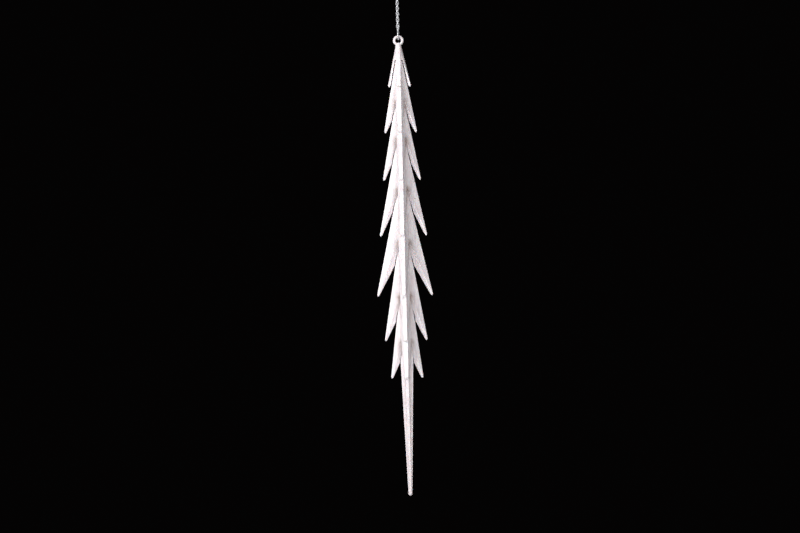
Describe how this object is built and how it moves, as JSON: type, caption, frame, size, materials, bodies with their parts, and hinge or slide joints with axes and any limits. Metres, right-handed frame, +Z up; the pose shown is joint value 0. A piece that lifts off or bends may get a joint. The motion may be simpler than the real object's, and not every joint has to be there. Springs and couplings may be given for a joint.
{
  "type": "icicle hanging ornament",
  "caption": "Tiered white plastic icicle with four-bladed stars on a spine rod, a long tapered tail and a ring on a doubled silver cord.",
  "frame": {"origin": "underside of the hanging loop at its top, where a twig or hook carries the ornament", "axes": "+Z up and the icicle hangs down -Z; blades point along +X, -X, +Y and -Y; the front is -Y, and the ring's hole runs along Y"},
  "size_m": [0.0246, 0.0246, 0.2617],
  "materials": {
    "white_plastic": "satin-gloss moulded white plastic with a faint pearly warmth",
    "silver_cord": "twisted silver metallic thread cord",
    "rod_steel": "plain drawn steel wire"
  },
  "bodies": {
    "hanging_loop": {"cord_loop": "silver_cord", "cord_knot": "silver_cord"},
    "cord_legs": {"cord_stem": "silver_cord"},
    "icicle": {"ring_spire": "white_plastic", "star_2": "white_plastic", "star_3": "white_plastic", "star_4": "white_plastic", "star_5": "white_plastic", "star_6": "white_plastic", "star_7": "white_plastic", "tail_spike": "white_plastic", "spine_rod": "rod_steel"}
  },
  "joints": [
    {"name": "twist", "type": "hinge", "parent": "hanging_loop", "child": "cord_legs", "pos_m": [0, 0, -0.0361], "axis": [0, 0, 1], "continuous": true},
    {"name": "swing", "type": "hinge", "parent": "cord_legs", "child": "icicle", "pos_m": [0, 0, -0.05945], "axis": [0, 1, 0], "range_deg": [-90, 90]}
  ]
}
